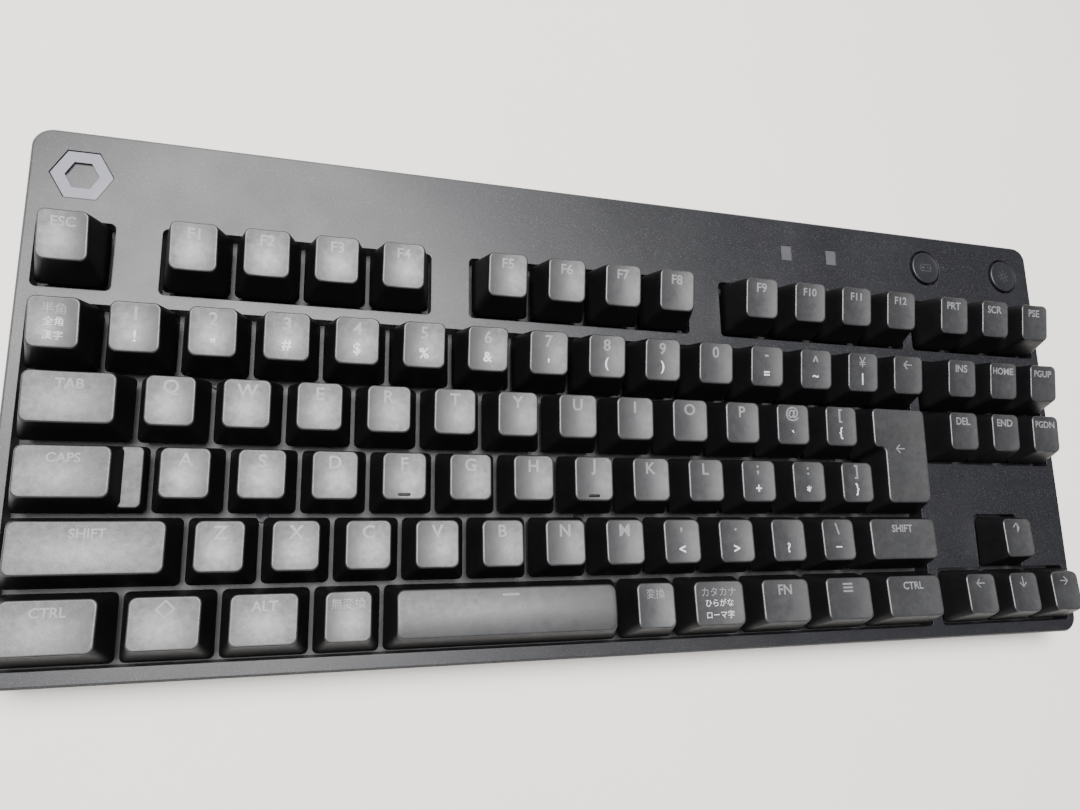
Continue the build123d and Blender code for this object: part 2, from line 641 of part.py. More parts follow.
with BuildPart() as bottom_case:
    with BuildSketch(Plane.XY.offset(PAD_HEIGHT)):
        RectangleRounded(WIDTH - 2 * SEAM_STEP, DEPTH - 2 * SEAM_STEP, CORNER_RADIUS - SEAM_STEP)
    extrude(amount=PARTING_HEIGHT - PAD_HEIGHT)
    chamfer(faces().sort_by(Axis.Z)[0].edges(), 1.2)
    with BuildSketch(Plane.XY.offset(FLOOR_TOP)):
        RectangleRounded(WIDTH - 2 * WALL, DEPTH - 2 * WALL, CORNER_RADIUS - WALL)
    extrude(amount=PARTING_HEIGHT, mode=Mode.SUBTRACT)
    # pockets for the folding feet
    with BuildSketch(Plane.XY.offset(PAD_HEIGHT + FLOOR / 2)):
        with Locations(*[(x, pocket_centre_y) for x in FOOT_X]):
            Rectangle(pocket_width + 2 * POCKET_WALL, pocket_length + 2 * POCKET_WALL)
    extrude(amount=POCKET_DEPTH + 1.2 - FLOOR / 2)
    with BuildSketch(Plane.XY.offset(PAD_HEIGHT)):
        with Locations(*[(x, pocket_centre_y) for x in FOOT_X]):
            Rectangle(pocket_width, pocket_length)
    extrude(amount=POCKET_DEPTH, mode=Mode.SUBTRACT)
    for x in FOOT_X:
        with BuildSketch(Plane.YZ.offset(x - pocket_width / 2 - 1.0)):
            with Locations((HINGE_Y, HINGE_Z)):
                Circle(HINGE_PIN / 2 + 0.02)
        extrude(amount=pocket_width + 2.0, mode=Mode.SUBTRACT)
    # seats for the rubber pads
    with BuildSketch(Plane.XY.offset(PAD_HEIGHT)):
        with Locations(*PADS):
            RectangleRounded(PAD_LENGTH, PAD_WIDTH, 2.0)
    extrude(amount=PAD_RECESS, mode=Mode.SUBTRACT)
    # posts that carry the switch plate
    for x, y in plate_screw_spots:
        length = (deck_point(x, y).Z - FLOOR_TOP + FLOOR / 2) / math.cos(tilt) - PLATE_DEPTH - PLATE
        with BuildSketch(deck.offset(-PLATE_DEPTH - PLATE)):
            with Locations((x, y)):
                Circle(PLATE_POST / 2)
        extrude(amount=-length)
        with BuildSketch(deck.offset(-PLATE_DEPTH - PLATE)):
            with Locations((x, y)):
                Circle(PLATE_SCREW / 2 + 0.03)
        extrude(amount=-PLATE_SCREW_LENGTH, mode=Mode.SUBTRACT)
    # holes for the case screws
    for x, y in case_screw_spots:
        spot = deck_point(x, y)
        with Locations(Plane(origin=(spot.X, spot.Y, PAD_HEIGHT), z_dir=(0, 0, -1))):
            CounterBoreHole(CASE_SCREW / 2 + 0.1, SCREW_HEAD / 2 + 0.2, 0.9, depth=FLOOR)
save(bottom_case.part, "bottom_case")

# ---------------------------------------------------------------------------
# Fasteners and pads
# ---------------------------------------------------------------------------
with BuildPart() as case_screws:
    for x, y in case_screw_spots:
        spot = deck_point(x, y)
        with BuildSketch(Plane.XY.offset(PAD_HEIGHT + 0.1)):
            with Locations((spot.X, spot.Y)):
                Circle(SCREW_HEAD / 2)
        extrude(amount=0.8)
        with BuildSketch(Plane.XY.offset(PAD_HEIGHT + 0.5)):
            with Locations((spot.X, spot.Y)):
                Circle(CASE_SCREW / 2)
        extrude(amount=9.0)
        with BuildSketch(Plane.XY.offset(PAD_HEIGHT + 0.1)):
            with Locations((spot.X, spot.Y)):
                Rectangle(2.6, 0.6)
                Rectangle(0.6, 2.6)
        extrude(amount=0.5, mode=Mode.SUBTRACT)
save(case_screws.part, "case_screws")

with BuildPart(deck) as plate_screws:
    with Locations(*[(x, y, -PLATE_DEPTH) for x, y in plate_screw_spots]):
        Cylinder(1.6, 1.1, align=(Align.CENTER, Align.CENTER, Align.MIN))
        Cylinder(
            PLATE_SCREW / 2,
            PLATE_SCREW_LENGTH - 0.5,
            align=(Align.CENTER, Align.CENTER, Align.MAX),
        )
save(plate_screws.part, "plate_screws")

with BuildPart() as rubber_pads:
    with BuildSketch():
        with Locations(*PADS):
            RectangleRounded(PAD_LENGTH - 0.1, PAD_WIDTH - 0.1, 1.9)
    extrude(amount=PAD_HEIGHT + PAD_RECESS)
save(rubber_pads.part, "rubber_pads")

# ---------------------------------------------------------------------------
# Electrical pieces on the circuit board
# ---------------------------------------------------------------------------
with BuildPart(deck) as usb_socket:
    with Locations((SOCKET_X, rear_y - RECESS_DEPTH, -BOARD_DEPTH)):
        Box(
            SOCKET_WIDTH,
            SOCKET_LENGTH,
            SOCKET_HEIGHT,
            align=(Align.CENTER, Align.MAX, Align.MIN),
        )
    with Locations((SOCKET_X, rear_y - RECESS_DEPTH, -BOARD_DEPTH + 0.4)):
        Box(
            SOCKET_WIDTH - 0.8,
            SOCKET_LENGTH - 1.0,
            SOCKET_HEIGHT - 0.8,
            align=(Align.CENTER, Align.MAX, Align.MIN),
            mode=Mode.SUBTRACT,
        )
    with Locations((SOCKET_X, rear_y - RECESS_DEPTH - 1.0, -BOARD_DEPTH + SOCKET_HEIGHT / 2)):
        Box(6.4, SOCKET_LENGTH - 1.6, 0.7, align=(Align.CENTER, Align.MAX, Align.CENTER))
save(usb_socket.part, "usb_socket")

with BuildPart(deck) as controller_chip:
    with Locations((4.5 * UNIT, 119.0, -BOARD_DEPTH)):
        Box(10.0, 10.0, 1.2, align=(Align.CENTER, Align.CENTER, Align.MIN))
save(controller_chip.part, "controller_chip")

with BuildPart(deck) as indicator_lamps:
    with Locations(*[(x, STRIP_Y, -BOARD_DEPTH) for x in WINDOW_X]):
        Box(3.0, 2.0, 1.2, align=(Align.CENTER, Align.CENTER, Align.MIN))
save(indicator_lamps.part, "indicator_lamps")

with BuildPart(deck) as indicator_windows:
    with Locations(*[(x, STRIP_Y, -0.1) for x in WINDOW_X]):
        Box(
            WINDOW_WIDTH - 0.1,
            WINDOW_LENGTH - 0.1,
            9.2,
            align=(Align.CENTER, Align.CENTER, Align.MAX),
        )
save(indicator_windows.part, "indicator_windows")

with BuildPart(deck) as emblem:
    with BuildSketch(deck.offset(-EMBLEM_SEAT)):
        with Locations((EMBLEM_X, STRIP_Y)):
            RegularPolygon(EMBLEM_RADIUS, 6)
            RegularPolygon(EMBLEM_RADIUS * 0.55, 6, mode=Mode.SUBTRACT)
    extrude(amount=EMBLEM_SEAT - 0.3)
save(emblem.part, "emblem")

with BuildPart(deck) as button_switches:
    with Locations(*[(x, STRIP_Y, -BOARD_DEPTH) for x in BUTTON_X]):
        Box(6.0, 6.0, 3.5, align=(Align.CENTER, Align.CENTER, Align.MIN))
    with Locations(*[(x, STRIP_Y, -BOARD_DEPTH + 1.5) for x in BUTTON_X]):
        Cylinder(1.9, 3.0, align=(Align.CENTER, Align.CENTER, Align.MIN), mode=Mode.SUBTRACT)
save(button_switches.part, "button_switches")

# ---------------------------------------------------------------------------
# Push buttons and folding feet
# ---------------------------------------------------------------------------
for name, x in zip(["button_game_mode", "button_light"], BUTTON_X):
    with BuildPart(deck) as button:
        with Locations((x, STRIP_Y, BUTTON_PROUD)):
            Cylinder(BUTTON / 2, 3.6, align=(Align.CENTER, Align.CENTER, Align.MAX))
        with Locations((x, STRIP_Y, -SKIN - 0.3)):
            Cylinder(BUTTON_HOLE / 2 + 0.8, 0.9, align=(Align.CENTER, Align.CENTER, Align.MAX))
        with Locations((x, STRIP_Y, -SKIN)):
            Cylinder(1.5, 6.4, align=(Align.CENTER, Align.CENTER, Align.MAX))
    save(button.part, name)

for name, x in zip(["foot_left", "foot_right"], FOOT_X):
    with BuildPart() as foot:
        with BuildSketch(Plane.YZ.offset(x - FOOT_WIDTH / 2)):
            with Locations((HINGE_Y, HINGE_Z)):
                Circle(1.9)
            with Locations((HINGE_Y, HINGE_Z - 1.9)):
                Rectangle(FOOT_LENGTH, 3.7, align=(Align.MIN, Align.MIN))
            with Locations((HINGE_Y, HINGE_Z)):
                Circle(HINGE_PIN / 2 + 0.05, mode=Mode.SUBTRACT)
        extrude(amount=FOOT_WIDTH)
        with BuildSketch(Plane.XY.offset(HINGE_Z - 1.9)):
            with Locations((x, HINGE_Y + 0.55 * FOOT_LENGTH)):
                RectangleRounded(FOOT_WIDTH - 10.0, 7.0, 1.5)
        extrude(amount=2.2, mode=Mode.SUBTRACT)
    save(foot.part, name)
    with BuildPart() as tip:
        with Locations((x, HINGE_Y + FOOT_LENGTH, HINGE_Z - 1.9)):
            Box(FOOT_WIDTH - 2.0, TIP, 3.7, align=(Align.CENTER, Align.MIN, Align.MIN))
    save(tip.part, f"{name}_tip")

with BuildPart() as foot_hinge_pins:
    for x in FOOT_X:
        with BuildSketch(Plane.YZ.offset(x - pocket_width / 2 - 0.95)):
            with Locations((HINGE_Y, HINGE_Z)):
                Circle(HINGE_PIN / 2)
        extrude(amount=pocket_width + 1.9)
save(foot_hinge_pins.part, "foot_hinge_pins")
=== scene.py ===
import json
import math

import bmesh
import bpy
from mathutils import Euler, Matrix, Vector


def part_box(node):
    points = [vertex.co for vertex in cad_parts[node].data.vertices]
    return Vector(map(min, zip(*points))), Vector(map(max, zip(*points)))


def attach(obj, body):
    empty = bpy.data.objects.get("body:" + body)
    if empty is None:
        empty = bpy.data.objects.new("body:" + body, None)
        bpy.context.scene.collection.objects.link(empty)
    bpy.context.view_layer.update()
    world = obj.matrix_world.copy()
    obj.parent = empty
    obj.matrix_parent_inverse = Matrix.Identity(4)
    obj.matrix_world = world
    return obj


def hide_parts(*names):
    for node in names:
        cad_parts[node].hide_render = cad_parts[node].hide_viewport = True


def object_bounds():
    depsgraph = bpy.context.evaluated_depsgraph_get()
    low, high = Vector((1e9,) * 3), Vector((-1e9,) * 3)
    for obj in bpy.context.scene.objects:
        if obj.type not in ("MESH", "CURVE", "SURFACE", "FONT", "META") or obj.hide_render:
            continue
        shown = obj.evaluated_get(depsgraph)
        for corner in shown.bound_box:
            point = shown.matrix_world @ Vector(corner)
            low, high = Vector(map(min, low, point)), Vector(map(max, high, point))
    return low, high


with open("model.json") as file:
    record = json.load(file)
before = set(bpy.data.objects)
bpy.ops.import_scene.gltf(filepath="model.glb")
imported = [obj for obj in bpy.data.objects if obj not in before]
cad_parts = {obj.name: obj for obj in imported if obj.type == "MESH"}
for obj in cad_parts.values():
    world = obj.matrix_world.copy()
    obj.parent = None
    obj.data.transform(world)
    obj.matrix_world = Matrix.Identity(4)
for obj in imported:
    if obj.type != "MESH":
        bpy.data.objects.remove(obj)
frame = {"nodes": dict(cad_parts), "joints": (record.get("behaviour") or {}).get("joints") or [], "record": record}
cad_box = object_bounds()
cad_low, cad_high = Vector(cad_box[0]), Vector(cad_box[1])

# ---------------------------------------------------------------------------
# Dimensions in millimetres, as in the CAD model; meshes are scaled to metres
# ---------------------------------------------------------------------------
MM = 0.001
UNIT = 19.05
ROW_Y = [0, UNIT, 2 * UNIT, 3 * UNIT, 4 * UNIT, 5 * UNIT + 4.7625]
ROW_HEIGHT = [8.7, 8.9, 8.8, 9.2, 11.0, 11.0]
ROW_TILT = [-4.0, -3.0, 0.0, 3.0, 7.0, 8.0]
CTRL_ROW, SHIFT_ROW, HOME_ROW, TAB_ROW, NUMBER_ROW, FUNCTION_ROW = range(6)

KEY_BASE = 18.0
KEY_SKIRT = -0.6
KEY_WALL = 1.1
KEY_ROOF = 1.5
FRONT_SLOPE = 3.5
REAR_SLOPE = 1.2
SIDE_SLOPE = 2.95
BASE_RADIUS = 1.5
TOP_RADIUS = 2.0
EDGE_RADIUS = 0.45
DISH = 0.55
CROWN = 0.75
LIT_TOP_FACING = 0.62  # faces that look up more than this belong to a cap's top and take the lighter top paint, painted light
LEGEND_PROUD = 0.03
LEGEND_THICKNESS = 0.1

FRONT_HEIGHT = 16.0

# ---------------------------------------------------------------------------
# The deck's own frame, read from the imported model
# ---------------------------------------------------------------------------
press_axis = Vector(next(j for j in frame["joints"] if j["name"] == "key_escape_press")["axis"])
deck_up = -press_axis.normalized()
deck_back = Vector((0, deck_up.z, -deck_up.y))
ctrl_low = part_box("key_left_control")[0]
grid_x = ctrl_low.x - (UNIT - KEY_BASE) / 2 * MM
grid_y = ctrl_low.y + (KEY_BASE / 2 * deck_back.y + KEY_SKIRT * deck_back.z) * MM
grid_z = cad_low.z + FRONT_HEIGHT * MM + (grid_y - cad_low.y) * deck_back.z / deck_back.y
deck = Matrix.Translation((grid_x, grid_y, grid_z)) @ Matrix(
    ((1, 0, 0, 0), (0, deck_back.y, deck_up.y, 0), (0, deck_back.z, deck_up.z, 0), (0, 0, 0, 1))
)
BODY = {node: body for body, nodes in frame["record"]["behaviour"]["bodies"].items() for node in nodes}


# ---------------------------------------------------------------------------
# Materials
# ---------------------------------------------------------------------------
class Paint:
    """A node material with a principled shader and a few helpers."""

    def __init__(self, name, colour, roughness, metallic=0.0):
        self.material = bpy.data.materials.new(name)
        self.material.use_nodes = True
        self.nodes = self.material.node_tree.nodes
        self.links = self.material.node_tree.links
        self.shader = self.nodes["Principled BSDF"]
        self.shader.inputs["Base Color"].default_value = (*colour, 1)
        self.shader.inputs["Roughness"].default_value = roughness
        self.shader.inputs["Metallic"].default_value = metallic
        self.place = self.nodes.new("ShaderNodeTexCoord").outputs["Object"]

    def noise(self, scale, detail=3.0, rough=0.6):
        """Noise over the object's own coordinates; a scale of 1000 is one cell a millimetre."""
        node = self.nodes.new("ShaderNodeTexNoise")
        node.inputs["Scale"].default_value = scale
        node.inputs["Detail"].default_value = detail
        node.inputs["Roughness"].default_value = rough
        self.links.new(self.place, node.inputs["Vector"])
        return node.outputs["Fac"]

    def spread(self, source, low, high, start=0.3, end=0.7):
        """Map a value from start..end to low..high."""
        node = self.nodes.new("ShaderNodeMapRange")
        node.inputs["From Min"].default_value = start
        node.inputs["From Max"].default_value = end
        node.inputs["To Min"].default_value = low
        node.inputs["To Max"].default_value = high
        self.links.new(source, node.inputs["Value"])
        return node.outputs["Result"]

    def attribute(self, name):
        """A value stored on the mesh's vertices."""
        node = self.nodes.new("ShaderNodeAttribute")
        node.attribute_name = name
        return node.outputs["Fac"]

    def total(self, first, second):
        """The sum of two values, kept within 0..1."""
        node = self.nodes.new("ShaderNodeMath")
        node.use_clamp = True
        self.links.new(first, node.inputs[0])
        self.links.new(second, node.inputs[1])
        return node.outputs["Value"]

    def blend(self, factor, first, second, target="Base Color"):
        """Mix two colours by a factor, into the shader's colour."""
        node = self.nodes.new("ShaderNodeMix")
        node.data_type = "RGBA"
        node.inputs["A"].default_value = (*first, 1)
        node.inputs["B"].default_value = (*second, 1)
        self.links.new(factor, node.inputs["Factor"])
        self.links.new(node.outputs["Result"], self.shader.inputs[target])
        return node.outputs["Result"]

    def bump(self, height, strength, distance, bevel=0.0):
        """Bump the surface by a height, over edges softened by a bevel."""
        node = self.nodes.new("ShaderNodeBump")
        node.inputs["Strength"].default_value = strength
        node.inputs["Distance"].default_value = distance
        self.links.new(height, node.inputs["Height"])
        if bevel:
            soft = self.nodes.new("ShaderNodeBevel")
            soft.samples = 4
            soft.inputs["Radius"].default_value = bevel
            self.links.new(soft.outputs["Normal"], node.inputs["Normal"])
        self.links.new(node.outputs["Normal"], self.shader.inputs["Normal"])


def case_paint():
    """Fine-grained dark satin plastic with a faint sparkle."""
    paint = Paint("case_plastic", (0.02, 0.02, 0.022), 0.42)
    grain = paint.noise(2600, 2.0)
    speckle = paint.spread(paint.noise(2600, 2.0), 0.0, 1.0, 0.54, 0.74)
    paint.blend(speckle, (0.011, 0.011, 0.013), (0.055, 0.055, 0.065))
    rough = paint.spread(paint.noise(35, 4.0), 0.34, 0.44)
    paint.links.new(rough, paint.shader.inputs["Roughness"])
    paint.bump(grain, 0.35, 0.00006, 0.00035)
    return paint.material


def lit_cap_top_paint():
    """The keycaps' tops: fine grain, polished in patches by use; painted lighter than the walls as the light
    falling on them, with a painted highlight round the rim and a painted sheen towards the middle.
    """
    paint = Paint("keycap_top", (0.03, 0.03, 0.032), 0.4)
    paint.shader.inputs["Specular IOR Level"].default_value = 0.85
    patches = paint.spread(paint.noise(180, 5.0, 0.7), 0.0, 0.16, 0.45, 0.7)
    speckle = paint.spread(paint.noise(3600, 2.0), 0.0, 0.14, 0.5, 0.7)
    # This attribute lightens the colour as a painted highlight round the rim and a painted sheen towards the
    # middle, and lowers roughness there
    wear_and_highlight = paint.attribute("wear_and_highlight")
    rubbed_and_lit = paint.total(paint.total(patches, speckle), paint.spread(wear_and_highlight, 0.0, 0.3, 0.0, 1.0))
    paint.blend(rubbed_and_lit, (0.009, 0.009, 0.01), (0.075, 0.075, 0.08))
    uneven = paint.spread(paint.noise(520, 5.0, 0.7), 0.0, 0.12)
    rough = paint.total(uneven, paint.spread(wear_and_highlight, 0.48, 0.3, 0.0, 1.0))
    paint.links.new(rough, paint.shader.inputs["Roughness"])
    paint.bump(paint.noise(3200, 3.0), 0.4, 0.00006)
    return paint.material


def shaded_cap_wall_paint():
    """The keycaps' sloping walls, finer than their tops and painted much darker, as the shade on them."""
    paint = Paint("keycap_wall", (0.005, 0.005, 0.0055), 0.42)
    paint.shader.inputs["Specular IOR Level"].default_value = 0.2
    paint.blend(paint.noise(90, 3.0), (0.0035, 0.0035, 0.004), (0.007, 0.007, 0.0075))
    rough = paint.spread(paint.noise(300, 4.0), 0.36, 0.5)
    paint.links.new(rough, paint.shader.inputs["Roughness"])
    paint.bump(paint.noise(5200, 2.0), 0.15, 0.00004)
    return paint.material


def legend_paint(name, colour, roughness):
    """Printed legend with slightly uneven ink."""
    paint = Paint(name, colour, roughness)
    dark = tuple(part * 0.72 for part in colour)
    paint.blend(paint.spread(paint.noise(900, 3.0), 0.0, 1.0), dark, colour)
    return paint.material


def plain_plastic(name, colour, roughness, grain=1800):
    """Moulded plastic with a fine grain and uneven gloss."""
    paint = Paint(name, colour, roughness)
    light = tuple(min(1.0, part * 1.35 + 0.004) for part in colour)
    paint.blend(paint.noise(60, 3.0), colour, light)
    rough = paint.spread(paint.noise(120, 3.0), roughness * 0.85, roughness * 1.15)
    paint.links.new(rough, paint.shader.inputs["Roughness"])
    paint.bump(paint.noise(grain, 2.0), 0.2, 0.00004, 0.0002)
    return paint.material


def metal(name, colour, roughness):
    """Drawn or brushed metal with fine streaks."""
    paint = Paint(name, colour, roughness, 1.0)
    rough = paint.spread(paint.noise(700, 5.0), roughness * 0.7, roughness * 1.3)
    paint.links.new(rough, paint.shader.inputs["Roughness"])
    paint.bump(paint.noise(2200, 3.0), 0.15, 0.00003, 0.0001)
    return paint.material


def shaded_plate_paint():
    """Pale powder-coated plate with faint dust, painted dark as the shade deep between the caps."""
    paint = Paint("plate_metal", (0.5, 0.5, 0.52), 0.5)
    # Painted shade: the pale plate is coloured near black, as the shade between the caps; the noise is faint dust
    paint.blend(paint.spread(paint.noise(300, 4.0), 0.0, 1.0), (0.03, 0.03, 0.032), (0.06, 0.06, 0.064))
    paint.bump(paint.noise(3000, 2.0), 0.25, 0.00005)
    return paint.material


def board_paint():
    """Dark green solder mask with lighter tracks."""
    paint = Paint("board", (0.01, 0.04, 0.02), 0.35)
    wave = paint.nodes.new("ShaderNodeTexVoronoi")
    wave.feature = "DISTANCE_TO_EDGE"
    wave.inputs["Scale"].default_value = 260
    paint.links.new(paint.place, wave.inputs["Vector"])
    track = paint.spread(wave.outputs["Distance"], 1.0, 0.0, 0.02, 0.05)
    paint.blend(track, (0.008, 0.03, 0.016), (0.02, 0.07, 0.035))
    return paint.material


PAINTS = {
    "case": case_paint(),
    # The caps' wall paint is painted shade and their top paint is painted light, copies of one plastic
    "cap": shaded_cap_wall_paint(),
    "cap_top": lit_cap_top_paint(),
    "legend": legend_paint("legend_grey", (0.2, 0.2, 0.21), 0.42),
    "legend_white": legend_paint("legend_white", (0.62, 0.62, 0.63), 0.5),
    "glyph": legend_paint("glyph_grey", (0.06, 0.06, 0.065), 0.4),
    "button": plain_plastic("button_plastic", (0.012, 0.012, 0.014), 0.36),
    "switch": plain_plastic("switch_plastic", (0.012, 0.012, 0.013), 0.4),
    "plate": shaded_plate_paint(),
    "board": board_paint(),
    "screw": metal("screw_steel", (0.16, 0.16, 0.165), 0.4),
    "black_screw": metal("black_steel", (0.03, 0.03, 0.032), 0.5),
    "socket": metal("socket_steel", (0.6, 0.6, 0.62), 0.3),
    "pad": plain_plastic("pad_rubber", (0.02, 0.02, 0.02), 0.8, 900),
    "emblem": plain_plastic("emblem_plastic", (0.1, 0.1, 0.125), 0.35),
    "window": plain_plastic("window_plastic", (0.055, 0.055, 0.06), 0.4),
    "lamp": plain_plastic("lamp_plastic", (0.75, 0.75, 0.68), 0.3),
    "chip": plain_plastic("chip_plastic", (0.015, 0.015, 0.016), 0.5),
}

NODE_PAINT = {
    "top_case": "case",
    "bottom_case": "case",
    "foot_left": "case",
    "foot_right": "case",
    "foot_left_tip": "pad",
    "foot_right_tip": "pad",
    "switch_plate": "plate",
    "circuit_board": "board",
    "switch_housings": "switch",
    "stabiliser_housings": "switch",
    "backlight_lamps": "lamp",
    "indicator_lamps": "lamp",
    "case_screws": "screw",
    "plate_screws": "black_screw",
    "foot_hinge_pins": "screw",
    "usb_socket": "socket",
    "rubber_pads": "pad",
    "emblem": "emblem",
    "indicator_windows": "window",
    "controller_chip": "chip",
    "button_switches": "switch",
    "button_game_mode": "button",
    "button_light": "button",
}


def paint_nodes():
    """Give every CAD node its material."""
    for name, node in frame["nodes"].items():
        paint = PAINTS[NODE_PAINT.get(name, "cap")]
        for index in range(max(1, len(node.material_slots))):
            if node.material_slots:
                node.material_slots[index].material = paint
            else:
                node.data.materials.append(paint)


# ---------------------------------------------------------------------------
# Mesh helpers
# ---------------------------------------------------------------------------
CORNER_STEPS = 5
EDGE_STEPS = 6
TURN_STEPS = 48


def block(width, depth, x=0.0, y=0.0):
    """The four corners of a rectangle, anticlockwise."""
    half_x, half_y = width / 2, depth / 2
    return [
        Vector((x - half_x, y - half_y)),
        Vector((x + half_x, y - half_y)),
        Vector((x + half_x, y + half_y)),
        Vector((x - half_x, y + half_y)),
    ]


def corner_sides(corners, index):
    """Directions from a corner to its neighbours, and whether it points outwards."""
    here = corners[index]
    back = (corners[index - 1] - here).normalized()
    ahead = (corners[(index + 1) % len(corners)] - here).normalized()
    convex = back.x * ahead.y - back.y * ahead.x < 0
    return back, ahead, convex


def inset(corners, amount):
    """The outline moved inwards by an amount."""
    moved = []
    for index, here in enumerate(corners):
        back, ahead, convex = corner_sides(corners, index)
        moved.append(here + (back + ahead) * (amount if convex else -amount))
    return moved


def rounded(corners, radius):
    """Points around an outline with round corners and divided straight runs."""
    arcs = []
    for index, here in enumerate(corners):
        back, ahead, convex = corner_sides(corners, index)
        centre = here + (back + ahead) * radius
        arc = []
        for step in range(CORNER_STEPS + 1):
            turn = math.pi / 2 * step / CORNER_STEPS
            arc.append(centre - (ahead * math.cos(turn) + back * math.sin(turn)) * radius)
        arcs.append(arc)
    points = []
    for index, arc in enumerate(arcs):
        points.extend(arc)
        start, end = arc[-1], arcs[(index + 1) % len(arcs)][0]
        for step in range(1, EDGE_STEPS):
            points.append(start.lerp(end, step / EDGE_STEPS))
    return points


def skin_rings(rings, first_tip, last_tip):
    """A closed bmesh over rings of points, capped by a fan at each end."""
    mesh = bmesh.new()
    loops = [[mesh.verts.new(point) for point in ring] for ring in rings]
    count = len(loops[0])
    for lower, upper in zip(loops, loops[1:]):
        for index in range(count):
            ahead = (index + 1) % count
            mesh.faces.new((lower[index], lower[ahead], upper[ahead], upper[index]))
    for loop, tip in ((loops[0], first_tip), (loops[-1], last_tip)):
        middle = mesh.verts.new(tip)
        for index in range(count):
            mesh.faces.new((loop[index], loop[(index + 1) % count], middle))
    bmesh.ops.recalc_face_normals(mesh, faces=mesh.faces)
    return mesh


def finish_piece(mesh, name, matrix, body, paints, sharp=40.0):
    """Turn a bmesh in millimetres into an object that rides on a body."""
    bmesh.ops.transform(mesh, matrix=matrix @ Matrix.Scale(MM, 4), verts=mesh.verts)
    data = bpy.data.meshes.new(name)
    mesh.to_mesh(data)
    mesh.free()
    for paint in paints:
        data.materials.append(paint)
    data.shade_smooth()
    data.set_sharp_from_angle(angle=math.radians(sharp))
    piece = bpy.data.objects.new(name, data)
    bpy.context.scene.collection.objects.link(piece)
    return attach(piece, body) or piece


# ---------------------------------------------------------------------------
# Keycaps
# ---------------------------------------------------------------------------
def mark_lit_top(mesh):
    """Give the faces that look up the second material, the lighter top paint, painted light on them."""
    for face in mesh.faces:
        if face.normal.z > LIT_TOP_FACING:
            face.material_index = 1
    return mesh


RIM_RINGS = (9, 10, 11)  # of a cap's rings, those round its top's edge
# Rim rings get full value: a painted highlight lightening the rim's colour, and a smoother finish
RIM_HIGHLIGHT = 1.0
# The patch where use polishes a top smoother, also painted lighter as a sheen
POLISH_AND_SHEEN_REACH = 0.42, 4.6  # across, as a part of the top's width, and along
POLISH_AND_SHEEN_FORWARD = 1.4


